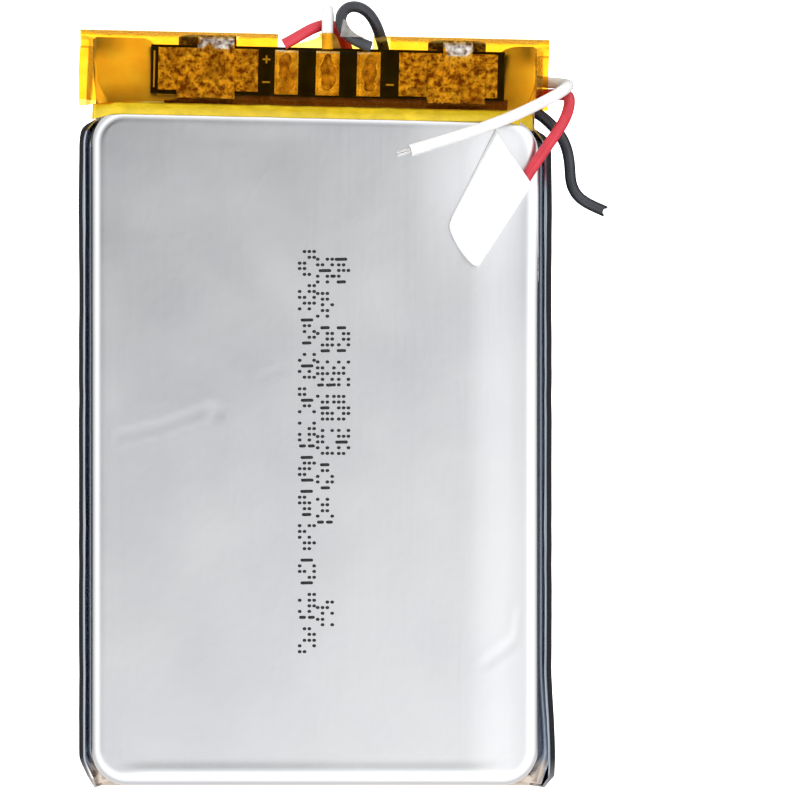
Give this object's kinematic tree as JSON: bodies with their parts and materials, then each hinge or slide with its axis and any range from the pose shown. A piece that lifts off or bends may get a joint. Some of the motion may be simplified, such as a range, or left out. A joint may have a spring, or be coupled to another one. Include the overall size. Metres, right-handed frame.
{
  "type": "pouch battery cell",
  "caption": "Flat rechargeable pouch cell: drawn foil pouch with folded side seams, amber-taped header with a protection board, and three short free leads.",
  "frame": {"origin": "middle of the cell's flat back face, on the surface that it lies on", "axes": "+Z out of the drawn front face, +Y along the cell's length towards the header and its leads, +X to the right seen from the front with the header up"},
  "size_m": [0.0417, 0.0624, 0.0066],
  "materials": {
    "laminate_foil": "satin aluminium laminate with a thin nylon face",
    "copper_anode": null,
    "cathode_coating": "coated aluminium foil, matt black",
    "separator_film": "thin white porous film",
    "green_tape": "green roll tape",
    "insulating_paper": "pressed insulating paper",
    "aluminium_tab": "plain rolled aluminium strip",
    "nickel_plate": "dull rolled nickel",
    "tab_seal_film": "translucent sealing film",
    "board_mask": "glossy dark solder mask",
    "solder": "grainy hand solder",
    "chip_epoxy": "black moulded epoxy",
    "chip_ceramic": "tan ceramic",
    "amber_tape": "translucent amber polyimide tape, wrinkled and glossy",
    "clear_tape": "translucent greyish tape",
    "red_insulation": "semi-gloss red wire insulation",
    "white_insulation": "semi-gloss white wire insulation",
    "black_insulation": "semi-gloss black wire insulation",
    "tinned_copper": "tinned stranded copper",
    "white_tape": "matt white tape"
  },
  "bodies": {
    "root": {"pouch_front_cup": "laminate_foil", "pouch_back_sheet": "laminate_foil", "anode_sheet": "copper_anode", "cathode_sheet": "cathode_coating", "separator_inner": "separator_film", "separator_outer": "separator_film", "roll_end_tape": "green_tape", "roll_top_insulator": "insulating_paper", "positive_tab": "aluminium_tab", "negative_tab": "nickel_plate", "positive_tab_film": "tab_seal_film", "negative_tab_film": "tab_seal_film", "circuit_board": "board_mask", "left_tab_plate": "nickel_plate", "right_tab_plate": "nickel_plate", "red_lead_pad": "solder", "white_lead_pad": "solder", "black_lead_pad": "solder", "red_solder_joint": "solder", "white_solder_joint": "solder", "black_solder_joint": "solder", "insulating_pad": "insulating_paper", "protection_chip": "chip_epoxy", "switch_transistor": "chip_epoxy", "sense_resistor": "chip_epoxy", "supply_resistor": "chip_epoxy", "supply_capacitor": "chip_ceramic", "output_capacitor": "chip_ceramic", "thermistor_chip": "chip_ceramic", "header_wrap_tape": "amber_tape", "step_tape": "amber_tape", "clear_tape_scrap": "clear_tape", "red_lead": "red_insulation", "white_lead": "white_insulation", "black_lead": "black_insulation", "white_lead_tip": "tinned_copper", "black_lead_strands": "tinned_copper", "red_lead_core": "tinned_copper", "lead_end_flag": "white_tape"}
  },
  "joints": []
}
